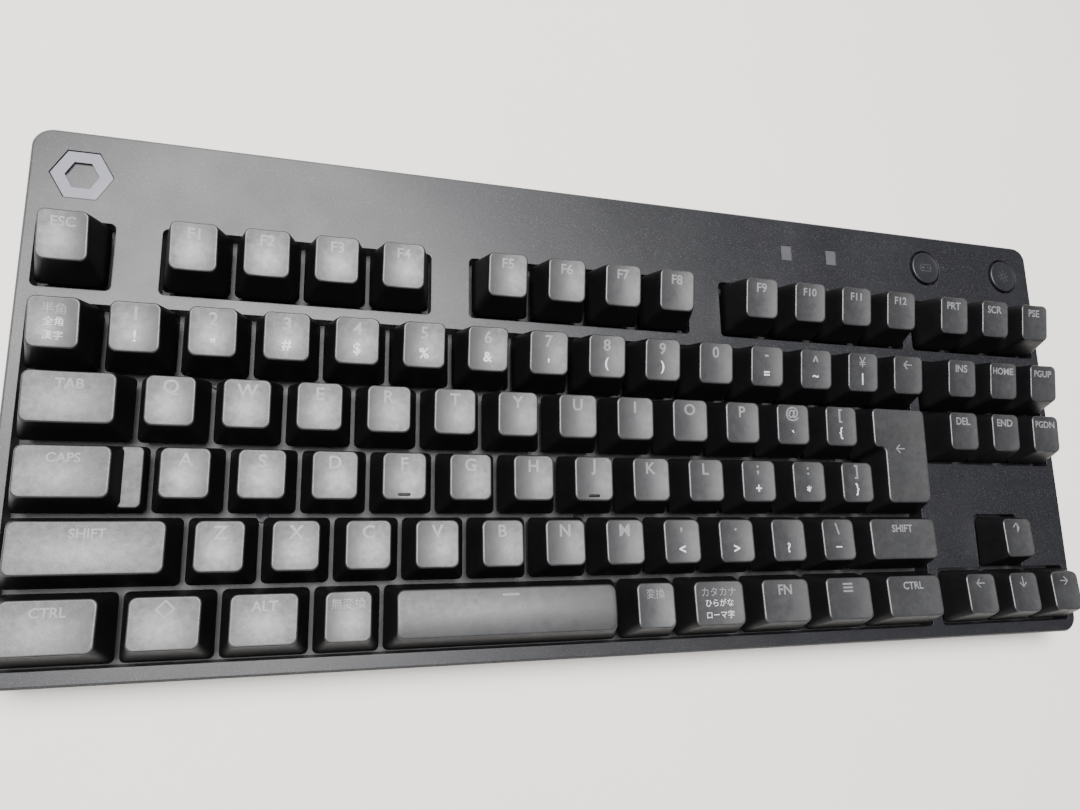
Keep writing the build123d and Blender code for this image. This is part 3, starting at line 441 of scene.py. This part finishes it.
class Cap:
    """One keycap's outline, heights and top surface, about its own unit block."""

    def __init__(self, row, width, base=None, top=None, height=None, lean=None):
        self.width = width
        across = (width - 1) * UNIT + KEY_BASE
        depth = KEY_BASE - FRONT_SLOPE - REAR_SLOPE
        middle = (FRONT_SLOPE - REAR_SLOPE) / 2
        self.base = base or block(across, KEY_BASE)
        self.top = top or block(across - 2 * SIDE_SLOPE, depth, 0, middle)
        self.edge = (height or ROW_HEIGHT[row]) + DISH
        self.lean = math.tan(math.radians(ROW_TILT[row] if lean is None else lean))
        self.middle = middle
        self.left = min(point.x for point in self.top)
        self.right = max(point.x for point in self.top)
        self.crowned = width > 3

    def plane(self, y):
        """Height of the top's plane."""
        return self.edge + (y - self.middle) * self.lean

    def surface(self, x, y):
        """Height of the top: dished across, or crowned on the space bar."""
        if self.crowned:
            return self.plane(y) + 0.15 - CROWN * ((y - self.middle) / 6.65) ** 2
        half = (self.right - self.left) / 2
        off = (x - (self.left + self.right) / 2) / half
        return self.plane(y) - DISH * max(0.0, 1 - off * off)

    def ring(self, part, inward=0.0):
        """A ring of the sloping wall, from 0 at the skirt to 1 at the top's plane."""
        corners = [low.lerp(high, part) for low, high in zip(self.base, self.top)]
        radius = BASE_RADIUS + (TOP_RADIUS - BASE_RADIUS) * part - inward
        points = rounded(inset(corners, inward), max(0.45, radius))
        return [
            Vector((p.x, p.y, KEY_SKIRT + (self.plane(p.y) - KEY_SKIRT) * part)) for p in points
        ]

    def rings(self):
        """All rings, from the roof inside, round the skirt, to the middle of the top."""
        inside_top = rounded(inset(self.top, KEY_WALL), 0.8)
        roof = [Vector((p.x, p.y, self.plane(p.y) - DISH - KEY_ROOF)) for p in inside_top]
        inside_base = rounded(inset(self.base, KEY_WALL), 0.6)
        lip = [Vector((p.x, p.y, KEY_SKIRT)) for p in inside_base]
        result = [roof, lip, self.ring(0.0, 0.12)]
        result += [self.ring(part) for part in (0.015, 0.3, 0.6, 0.8)]
        height = self.edge - KEY_SKIRT
        for step in range(6):
            turn = math.pi / 2 * step / 5
            drop = EDGE_RADIUS * (1 - math.sin(turn))
            inward = EDGE_RADIUS * (1 - math.cos(turn))
            ring = self.ring(1 - drop / height, inward)
            result.append([self.sunk(p) for p in ring])
        rim = result[-1]
        centre = Vector((sum(p.x for p in rim) / len(rim), sum(p.y for p in rim) / len(rim)))
        for scale in (0.965, 0.86, 0.68, 0.46, 0.22):
            flat = [centre.lerp(p.to_2d(), scale) for p in rim]
            result.append([Vector((p.x, p.y, self.surface(p.x, p.y))) for p in flat])
        self.roof_tip = Vector((centre.x, centre.y, roof[0].z))
        self.roof_tip.z = self.plane(centre.y) - DISH - KEY_ROOF
        self.top_tip = Vector((centre.x, centre.y, self.surface(centre.x, centre.y)))
        return result

    def sunk(self, point):
        """A point near the rim, lowered as the dish or the crown is there."""
        return Vector((point.x, point.y, point.z + self.surface(point.x, point.y) - self.plane(point.y)))

    def polish_and_sheen(self, point):
        """How far fingers have polished the top there, most a little in front of its middle; the same value also
        paints a lighter sheen there.
        """
        across = POLISH_AND_SHEEN_REACH[0] * (self.right - self.left)
        off_x = (point.x - (self.left + self.right) / 2) / across
        off_y = (point.y - self.middle + POLISH_AND_SHEEN_FORWARD) / POLISH_AND_SHEEN_REACH[1]
        return math.exp(-off_x * off_x - off_y * off_y)

    def mesh(self):
        """The closed hollow cap, its top and rim in the second material; a painted highlight and a smoother finish
        round the rim, and polish with a painted sheen at the middle.
        """
        rings = self.rings()
        mesh = skin_rings(rings, self.roof_tip, self.top_tip)
        wear_and_highlight = mesh.verts.layers.float.new("wear_and_highlight")
        for index, vert in enumerate(mesh.verts):
            ring = index // len(rings[0])
            # Rim rings: painted highlight; rings within the top: polish with a painted sheen
            if ring in RIM_RINGS:
                vert[wear_and_highlight] = RIM_HIGHLIGHT
            elif ring > RIM_RINGS[-1] and vert.co.z > self.roof_tip.z + 0.5:
                vert[wear_and_highlight] = self.polish_and_sheen(vert.co)
        return mark_lit_top(mesh)


def enter_corners(side, front, rear):
    """Corners of the tall enter key's stepped outline, about the key's centre."""
    gap = (UNIT - KEY_BASE) / 2
    right = 0.625 * UNIT - gap - side
    low_left = -0.625 * UNIT + gap + side
    high_left = low_left - 0.25 * UNIT
    notch = gap + front
    return [
        Vector((low_left, -UNIT + gap + front)),
        Vector((right, -UNIT + gap + front)),
        Vector((right, UNIT - gap - rear)),
        Vector((high_left, UNIT - gap - rear)),
        Vector((high_left, notch)),
        Vector((low_left, notch)),
    ]


def key_matrix(x, y):
    """Where a key stands, from its centre in millimetres on the deck."""
    return deck @ Matrix.Translation((x * MM, y * MM, 0))


# ---------------------------------------------------------------------------
# Legends
# ---------------------------------------------------------------------------
BOLDNESS = 0.02  # of the text's size, added to each side of its strokes


def text_mesh(text, size):
    """A flat closed solid of a text about its own middle, in millimetres."""
    curve = bpy.data.curves.new("legend", "FONT")
    curve.body = text
    curve.size = size
    curve.align_x = "CENTER"
    curve.align_y = "CENTER"
    curve.extrude = LEGEND_THICKNESS / 2
    curve.offset = BOLDNESS * size if text.isascii() else 0.0
    curve.resolution_u = 3
    carrier = bpy.data.objects.new("legend", curve)
    bpy.context.scene.collection.objects.link(carrier)
    bpy.context.view_layer.update()
    data = bpy.data.meshes.new_from_object(carrier.evaluated_get(bpy.context.evaluated_depsgraph_get()))
    mesh = bmesh.new()
    mesh.from_mesh(data)
    bmesh.ops.remove_doubles(mesh, verts=mesh.verts, dist=0.0005)
    bpy.data.objects.remove(carrier)
    bpy.data.curves.remove(curve)
    bpy.data.meshes.remove(data)
    if mesh.verts:
        low = min(v.co.x for v in mesh.verts), min(v.co.y for v in mesh.verts)
        high = max(v.co.x for v in mesh.verts), max(v.co.y for v in mesh.verts)
        centre = Vector(((low[0] + high[0]) / 2, (low[1] + high[1]) / 2, 0))
        for vert in mesh.verts:
            vert.co -= centre
    return mesh


def lay_on(mesh, cap, x, y):
    """Move a flat solid onto a cap's top surface at a place of that top."""
    for vert in mesh.verts:
        px, py = vert.co.x + x, vert.co.y + y
        base = cap.surface(px, py) + LEGEND_PROUD - LEGEND_THICKNESS / 2
        vert.co = Vector((px, py, base + vert.co.z))
    return mesh


def legend_parts(cap, main, second):
    """The legends of one key: (solid, material index) for each piece of text."""
    parts = []
    x = (cap.left + cap.right) / 2
    if main:
        word = len(main) > 1 and main.isascii()
        size = {1: 5.0, 2: 4.3, 3: 3.7}.get(len(main), 3.4) if word or len(main) == 1 else 3.1
        parts.append((lay_on(text_mesh(main, size), cap, x, cap.middle + 3.5), 0))
    lines = second.split("/") if len(second) > 1 else [second]
    for index, line in enumerate(lines):
        if not line:
            continue
        size = 4.2 if len(line) == 1 and line.isascii() else 2.5
        y = cap.middle - 2.4 if len(lines) == 1 else cap.middle + 0.2 - 3.6 * index
        parts.append((lay_on(text_mesh(line, size), cap, x, y), 1))
    return parts


def bar_mesh(width, depth, height):
    """A small bar with rounded upper edges, standing on its own middle."""
    rings = []
    for z, shrink in ((0.0, 0.0), (height * 0.6, 0.0), (height * 0.9, 0.1), (height, 0.22)):
        outline_points = rounded(inset(block(width, depth), shrink), depth / 2 - shrink - 0.01)
        rings.append([Vector((p.x, p.y, z)) for p in outline_points])
    return skin_rings(rings, Vector((0, 0, 0)), Vector((0, 0, height)))


# Nodes with their first centre in units, row, key width, and legends (main, second)
KEYS = {
    "key_escape": (0.5, FUNCTION_ROW, 1.0, [("ESC", "")]),
    "keys_f1_to_f4": (2.1667, FUNCTION_ROW, 1.0, [(f"F{n}", "") for n in range(1, 5)]),
    "keys_f5_to_f8": (6.8333, FUNCTION_ROW, 1.0, [(f"F{n}", "") for n in range(5, 9)]),
    "keys_f9_to_f12": (11.5, FUNCTION_ROW, 1.0, [(f"F{n}", "") for n in range(9, 13)]),
    "keys_print_scroll_pause": (15.75, FUNCTION_ROW, 1.0, [("PRT", ""), ("SCR", ""), ("PSE", "")]),
    "key_half_full_width": (0.5, NUMBER_ROW, 1.0, [("半角", "全角/漢字")]),
    "keys_digits": (1.5, NUMBER_ROW, 1.0, list(zip("1234567890", '!"#$%&\'() '))),
    "keys_minus_caret_yen": (11.5, NUMBER_ROW, 1.0, [("-", "="), ("^", "~"), ("¥", "|")]),
    "key_backspace": (14.5, NUMBER_ROW, 1.0, [("←", "")]),
    "keys_insert_home_page_up": (15.75, NUMBER_ROW, 1.0, [("INS", ""), ("HOME", ""), ("PGUP", "")]),
    "key_tab": (0.75, TAB_ROW, 1.5, [("TAB", "")]),
    "keys_letters_q_to_p": (2.0, TAB_ROW, 1.0, [(letter, "") for letter in "QWERTYUIOP"]),
    "keys_at_and_open_bracket": (12.0, TAB_ROW, 1.0, [("@", "`"), ("[", "{")]),
    "keys_delete_end_page_down": (15.75, TAB_ROW, 1.0, [("DEL", ""), ("END", ""), ("PGDN", "")]),
    "keys_letters_a_to_l": (2.25, HOME_ROW, 1.0, [(letter, "") for letter in "ASDFGHJKL"]),
    "keys_semicolon_to_close_bracket": (11.25, HOME_ROW, 1.0, [(";", "+"), (":", "*"), ("]", "}")]),
    "key_left_shift": (1.125, SHIFT_ROW, 2.25, [("SHIFT", "")]),
    "keys_letters_z_to_m": (2.75, SHIFT_ROW, 1.0, [(letter, "") for letter in "ZXCVBNM"]),
    "keys_comma_to_backslash": (9.75, SHIFT_ROW, 1.0, [(",", "<"), (".", ">"), ("", "?"), ("\\", "_")]),
    "key_right_shift": (14.125, SHIFT_ROW, 1.75, [("SHIFT", "")]),
    "key_arrow_up": (16.75, SHIFT_ROW, 1.0, [("↑", "")]),
    "key_left_control": (0.75, CTRL_ROW, 1.5, [("CTRL", "")]),
    "key_left_super": (2.125, CTRL_ROW, 1.25, [("◇", "")]),
    "key_left_alt": (3.375, CTRL_ROW, 1.25, [("ALT", "")]),
    "key_non_convert": (4.5, CTRL_ROW, 1.0, [("無変換", "")]),
    "key_space_bar": (6.875, CTRL_ROW, 3.75, [("", "")]),
    "key_convert": (9.25, CTRL_ROW, 1.0, [("変換", "")]),
    "key_kana": (10.375, CTRL_ROW, 1.25, [("カタカナ", "ひらがな/ローマ字")]),
    "key_function": (11.625, CTRL_ROW, 1.25, [("FN", "")]),
    "key_menu": (12.875, CTRL_ROW, 1.25, [("☰", "")]),
    "key_right_control": (14.25, CTRL_ROW, 1.5, [("CTRL", "")]),
    "key_arrow_left": (15.75, CTRL_ROW, 1.0, [("←", "")]),
    "key_arrow_down": (16.75, CTRL_ROW, 1.0, [("↓", "")]),
    "key_arrow_right": (17.75, CTRL_ROW, 1.0, [("→", "")]),
}
HOMING = {"F", "J"}
# A cap's walls take the dark paint, painted shade; its top takes the lighter paint, painted light
CAP_PAINTS = [PAINTS["cap"], PAINTS["cap_top"]]
# The third paint, the dark wall paint, is painted shade on the homing bars
LEGEND_PAINTS = [PAINTS["legend"], PAINTS["legend_white"], PAINTS["cap"]]


def tidy_name(node, index, count):
    """A piece's name from its node and its place in the bank."""
    return f"cap_{node}" if count == 1 else f"cap_{node}_{index + 1}"


def place_legends(legends, matrix, name, body, paints=LEGEND_PAINTS):
    """One thin piece with all the legends of one key or button."""
    whole = bmesh.new()
    for mesh, paint in legends:
        for face in mesh.faces:
            face.material_index = paint
        part = bpy.data.meshes.new("part")
        mesh.to_mesh(part)
        mesh.free()
        whole.from_mesh(part)
        bpy.data.meshes.remove(part)
    return finish_piece(whole, name, matrix, body, paints, 30)


def make_key(node, name, cap, x, y, main, second):
    """One keycap with its legends, riding on its key's body."""
    matrix = key_matrix(x, y)
    body = BODY[node]
    piece = finish_piece(cap.mesh(), name, matrix, body, CAP_PAINTS)
    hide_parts(node)
    legends = legend_parts(cap, main, second.strip())
    if main in HOMING:
        # The homing bar takes the dark wall paint, painted shade making the raised bar dark
        bar = lay_on(bar_mesh(3.6, 0.8, 0.35), cap, 0, cap.middle - 5.2)
        legends.append((bar, 2))
    if cap.crowned:
        legends.append((lay_on(bar_mesh(5.0, 0.7, 0.12), cap, 0, cap.middle + 4.6), 0))
    if legends:
        place_legends(legends, matrix, name.replace("cap_", "legend_"), body)


def make_keys():
    """All banks and single keys with straight-sided outlines."""
    for node, (first, row, width, labels) in KEYS.items():
        for index, (main, second) in enumerate(labels):
            cap = Cap(row, width)
            x = (first + index) * UNIT
            make_key(node, tidy_name(node, index, len(labels)), cap, x, ROW_Y[row], main, second)


def make_enter():
    """The tall stepped enter key."""
    base = enter_corners(0, 0, 0)
    top = enter_corners(SIDE_SLOPE, FRONT_SLOPE, REAR_SLOPE)
    cap = Cap(TAB_ROW, 1.25, base, top, 9.0, 1.5)
    cap.middle = 0.0
    y = (ROW_Y[TAB_ROW] + ROW_Y[HOME_ROW]) / 2
    make_key("key_enter", "cap_key_enter", cap, 14.375 * UNIT, y, "←", "")


RAISED_WIDTH = 27.7
STEP_WIDTH = 8.0
STEP_HEIGHT = 3.9
STEP_LEAN = 0.45
# (part of the step's height, inset) for each ring of the caps lock key's low step
STEP_RINGS = (
    (0.0, 0.1), (0.04, 0.0), (0.5, 0.0), (0.9, 0.0), (0.96, 0.06),
    (0.99, 0.2), (1.0, 0.4), (1.0, 0.5), (1.0, 1.1),
)


def make_caps_lock():
    """The stepped caps lock key: a raised cap joined to a low step at its right."""
    across = 0.75 * UNIT + KEY_BASE
    middle = (FRONT_SLOPE - REAR_SLOPE) / 2
    left = -across / 2 + RAISED_WIDTH / 2
    base = block(RAISED_WIDTH, KEY_BASE, left)
    depth = KEY_BASE - FRONT_SLOPE - REAR_SLOPE
    top = block(RAISED_WIDTH - 2 * SIDE_SLOPE, depth, left, middle)
    cap = Cap(HOME_ROW, 1.5, base, top)
    step_rings = []
    x = across / 2 - STEP_WIDTH / 2
    low, high = block(STEP_WIDTH, KEY_BASE, x), block(STEP_WIDTH - 2.0, KEY_BASE - 1.7, x, STEP_LEAN)
    for part, inward in STEP_RINGS:
        corners = [a.lerp(b, part) for a, b in zip(low, high)]
        points = rounded(inset(corners, inward), BASE_RADIUS - inward)
        step_rings.append([Vector((p.x, p.y, KEY_SKIRT + STEP_HEIGHT * part)) for p in points])
    top_tip = Vector((x, STEP_LEAN, KEY_SKIRT + STEP_HEIGHT))
    # The step's up-facing faces take the lighter top paint, painted light on them
    step = mark_lit_top(skin_rings(step_rings, Vector((x, 0, KEY_SKIRT)), top_tip))
    node, place = "key_caps_lock", (0.875 * UNIT, ROW_Y[HOME_ROW])
    make_key(node, "cap_key_caps_lock", cap, *place, "CAPS", "")
    matrix = key_matrix(*place)
    finish_piece(step, "step_key_caps_lock", matrix, BODY[node], CAP_PAINTS)


# ---------------------------------------------------------------------------
# Round buttons with their glyphs
# ---------------------------------------------------------------------------
STRIP_Y = 123.6
BUTTON_X = {"button_game_mode": 15.75 * UNIT, "button_light": 17.75 * UNIT}
BUTTON_PROFILE = [
    (1.5, -8.6), (1.5, -3.4), (7.8, -3.4), (7.8, -2.5), (6.3, -2.5), (6.3, 0.3), (6.25, 0.55),
    (6.1, 0.72), (5.85, 0.8), (5.5, 0.8), (5.3, 0.74), (4.6, 0.66), (3.2, 0.6), (1.6, 0.57),
]


class Dimple:
    """The shallow round hollow in a button's top."""

    def surface(self, x, y):
        return 0.56 + 0.0046 * (x * x + y * y)


def turned(profile):
    """A closed solid turned about Z from (radius, height) points."""
    rings = []
    for radius, height in profile:
        angles = [2 * math.pi * step / TURN_STEPS for step in range(TURN_STEPS)]
        rings.append([Vector((radius * math.cos(a), radius * math.sin(a), height)) for a in angles])
    tips = [Vector((0, 0, profile[0][1])), Vector((0, 0, profile[-1][1]))]
    return skin_rings(rings, *tips)


def flat_bar(width, depth, x, y, angle=0.0):
    """A thin rounded bar for a glyph, turned and placed on a button."""
    mesh = bar_mesh(width, depth, LEGEND_THICKNESS)
    turn = Matrix.Translation((x, y, 0)) @ Matrix.Rotation(math.radians(angle), 4, "Z")
    bmesh.ops.transform(mesh, matrix=turn, verts=mesh.verts)
    return mesh


def ring_bars(radius, count, width):
    """A ring of thin bars, end to end."""
    bars = []
    for step in range(count):
        angle = 360 * step / count
        x, y = radius * math.cos(math.radians(angle)), radius * math.sin(math.radians(angle))
        length = 2 * radius * math.sin(math.pi / count) * 1.02
        bars.append(flat_bar(length, width, x, y, angle + 90))
    return bars


def light_glyph():
    """A lamp sign: a small ring with eight rays."""
    bars = ring_bars(1.0, 12, 0.3)
    for step in range(8):
        angle = 45 * step
        x, y = 2.1 * math.cos(math.radians(angle)), 2.1 * math.sin(math.radians(angle))
        bars.append(flat_bar(0.9, 0.3, x, y, angle))
    return bars


def game_glyph():
    """A pad sign: a rounded frame with a cross and two dots."""
    bars = [flat_bar(4.4, 0.3, 0, 1.3), flat_bar(4.4, 0.3, 0, -1.3)]
    bars += [flat_bar(2.2, 0.3, -2.35, 0, 90), flat_bar(2.2, 0.3, 2.35, 0, 90)]
    bars += [flat_bar(1.3, 0.32, -1.1, 0), flat_bar(1.3, 0.32, -1.1, 0, 90)]
    bars += [flat_bar(0.5, 0.4, 0.9, 0.35), flat_bar(0.5, 0.4, 1.5, -0.35)]
    return bars


def make_buttons():
    """Both push buttons, each with a raised glyph."""
    for node, glyph in (("button_game_mode", game_glyph()), ("button_light", light_glyph())):
        matrix = key_matrix(BUTTON_X[node], STRIP_Y)
        button, paints = turned(BUTTON_PROFILE), [PAINTS["button"]]
        piece = finish_piece(button, f"cap_{node}", matrix, BODY[node], paints)
        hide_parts(node)
        parts = [(lay_on(bar, Dimple(), 0, 0), 0) for bar in glyph]
        place_legends(parts, matrix, f"glyph_{node}", BODY[node], [PAINTS["glyph"]])


# ---------------------------------------------------------------------------
# Floor, lights and camera
# ---------------------------------------------------------------------------
def make_stage():
    """A plain pale floor."""
    paint = Paint("floor", (0.8, 0.78, 0.75), 0.9)
    paint.blend(paint.noise(9, 3.0), (0.86, 0.83, 0.78), (0.92, 0.89, 0.845))
    data = bpy.data.meshes.new("floor")
    reach = 6.0
    corners = [(-reach, -reach, 0), (reach, -reach, 0), (reach, reach, 0), (-reach, reach, 0)]
    data.from_pydata(corners, [], [(0, 1, 2, 3)])
    data.materials.append(paint.material)
    floor = bpy.data.objects.new("floor", data)
    floor.location.z = cad_low.z
    bpy.context.scene.collection.objects.link(floor)


def area_light(name, place, target, size, power, colour=(1, 1, 1)):
    """A soft rectangular light that faces a target."""
    data = bpy.data.lights.new(name, "AREA")
    data.shape = "RECTANGLE"
    data.size, data.size_y = size
    data.energy = power
    data.color = colour
    lamp = bpy.data.objects.new(name, data)
    lamp.location = place
    lamp.rotation_euler = (Vector(target) - Vector(place)).to_track_quat("-Z", "Y").to_euler()
    bpy.context.scene.collection.objects.link(lamp)


def make_lights():
    """A soft light overhead at the left, a weak one from the window's side, and a dim surround."""
    area_light("overhead", (-0.22, 0.22, 1.3), (-0.1, 0.05, 0), (0.85, 0.95), 54)
    area_light("window", (-1.6, 0.5, 0.9), (0, 0, 0), (0.8, 1.0), 4, (0.93, 0.96, 1.0))
    world = bpy.data.worlds.new("surround")
    world.use_nodes = True
    world.node_tree.nodes["Background"].inputs["Color"].default_value = (0.95, 0.97, 1.0, 1)
    world.node_tree.nodes["Background"].inputs["Strength"].default_value = 0.05
    bpy.context.scene.world = world


CAMERA_PLACE = (-0.1006, -0.0566, 0.2472)
CAMERA_TURN = (14.355, -16.659, -1.829)
CAMERA_LENS = 25.85


def make_camera():
    """The camera, close above the left half of the keyboard."""
    data = bpy.data.cameras.new("camera")
    data.sensor_width = 36.0
    data.lens = CAMERA_LENS
    data.clip_start = 0.01
    camera = bpy.data.objects.new("camera", data)
    camera.location = CAMERA_PLACE
    camera.rotation_euler = Euler([math.radians(angle) for angle in CAMERA_TURN], "XYZ")
    bpy.context.scene.collection.objects.link(camera)
    bpy.context.scene.camera = camera


paint_nodes()
make_keys()
make_enter()
make_caps_lock()
make_buttons()
make_stage()
make_lights()
make_camera()
